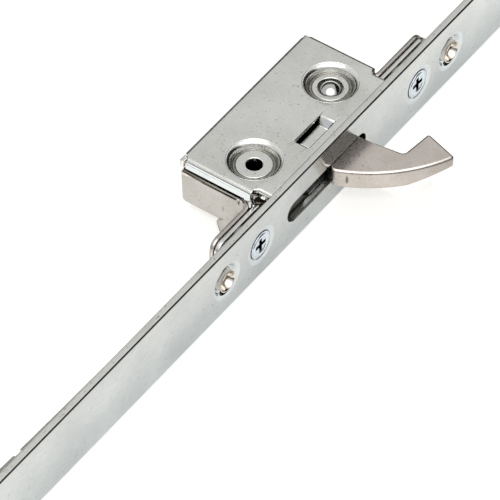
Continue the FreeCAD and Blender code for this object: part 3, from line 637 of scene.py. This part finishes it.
def makeFloor():
    # a round sheet of paper, white for the camera and with its own shades for the metal
    bm = bmesh.new()
    bmesh.ops.create_circle(bm, cap_ends=True, segments=studio["floorSides"],
                            radius=studio["floorRadius"])
    bmesh.ops.translate(bm, verts=bm.verts, vec=(0, 0, cadLow.z - studio["floorDrop"]))
    mesh = bpy.data.meshes.new("studioFloor")
    bm.to_mesh(mesh)
    bm.free()
    floor = bpy.data.objects.new("studioFloor", mesh)
    bpy.context.scene.collection.objects.link(floor)
    material, tree = newMaterial("paintedPaper")
    place = addNode(tree, "ShaderNodeTexCoord").outputs["Object"]
    paperColour = toLinear(studio["floorColour"])
    paper = addNode(tree, "ShaderNodeBsdfDiffuse", {"Color": paperColour}).outputs[0]
    lift = addNode(tree, "ShaderNodeEmission", {"Color": paperColour,
                                                "Strength": studio["floorLift"]}).outputs[0]
    seen = addNode(tree, "ShaderNodeAddShader", {0: paper, 1: lift}).outputs[0]
    surface = byRay(tree, seen, mirroredFloor(tree, place), paper)
    addNode(tree, "ShaderNodeOutputMaterial", {"Surface": surface})
    mesh.materials.append(material)


def makeLamp(name, look):
    data = bpy.data.lights.new(name, "AREA")
    data.shape = "DISK"
    data.size = look["size"]
    data.energy = look["power"]
    lamp = bpy.data.objects.new(name, data)
    bpy.context.scene.collection.objects.link(lamp)
    lamp.location = look["place"]
    lamp.visible_glossy = False  # the metal mirrors the softbox of the world instead
    lamp.rotation_euler = (lampAim - Vector(look["place"])).to_track_quat("-Z", "Y").to_euler()


def makeWorld():
    # white for the camera, plain light for the paper, and for the metal a room: bright above,
    # dark low down and on the unlit side, with a dark doorway and a softbox overhead
    world = bpy.data.worlds.new("softStudio")
    bpy.context.scene.world = world
    world.use_nodes = True
    tree = world.node_tree
    tree.nodes.clear()
    way = addNode(tree, "ShaderNodeTexCoord").outputs["Generated"]
    height = addNode(tree, "ShaderNodeSeparateXYZ", {0: way}).outputs["Z"]
    side = vectorNode(tree, "DOT_PRODUCT", way, studio["darkSide"])
    sideRise = mathNode(tree, "MULTIPLY", side, studio["darkSideRise"], clamp=True)
    aboveSide = mathNode(tree, "SUBTRACT", height, sideRise)
    towardsDoor = vectorNode(tree, "DOT_PRODUCT", way, studio["doorway"])
    doorRise = rangeNode(tree, towardsDoor, studio["doorwayEdge"], (0.0, studio["doorwayRise"]))
    aboveAll = mathNode(tree, "SUBTRACT", aboveSide, doorRise)
    sky = rangeNode(tree, aboveAll, studio["skySpan"], studio["skyLight"])
    towardsSoftbox = vectorNode(tree, "DOT_PRODUCT", way, studio["overhead"])
    softbox = rangeNode(tree, towardsSoftbox, studio["overheadEdge"], (0.0, studio["overheadGain"]))
    room = mathNode(tree, "ADD", sky, softbox)
    seen, mirrored, lit = (
        addNode(tree, "ShaderNodeBackground", {"Color": white, "Strength": strength}).outputs[0]
        for strength in (1.0, room, studio["worldStrength"]))
    addNode(tree, "ShaderNodeOutputWorld", {"Surface": byRay(tree, seen, mirrored, lit)})


makeFloor()
for name, look in lamps.items():
    makeLamp(name, look)
makeWorld()
print("studio set")


# camera

cameraFit = {
    "azimuth": -54.571,  # degrees round the part, as the photograph was taken
    "elevation": 46.844,
    "distance": 1.6260,  # metres from the aim point
    "lens": 413.9,
    "sensor": 36.0,
    "clip": (0.05, 20.0),
    "aim": (-0.045076, -0.0024, 0.002919),
}


def makeCamera():
    around = math.radians(cameraFit["azimuth"])
    above = math.radians(cameraFit["elevation"])
    back = Vector((math.sin(around) * math.cos(above), -math.cos(around) * math.cos(above),
                   math.sin(above)))
    data = bpy.data.cameras.new("photoCamera")
    data.lens = cameraFit["lens"]
    data.sensor_width = cameraFit["sensor"]
    data.clip_start, data.clip_end = cameraFit["clip"]
    camera = bpy.data.objects.new("photoCamera", data)
    bpy.context.scene.collection.objects.link(camera)
    camera.location = Vector(cameraFit["aim"]) + back * cameraFit["distance"]
    camera.rotation_mode = "QUATERNION"
    camera.rotation_quaternion = (-back).to_track_quat("-Z", "Y")
    bpy.context.scene.camera = camera


makeCamera()
bpy.context.scene.view_settings.view_transform = "Standard"
print("camera set")
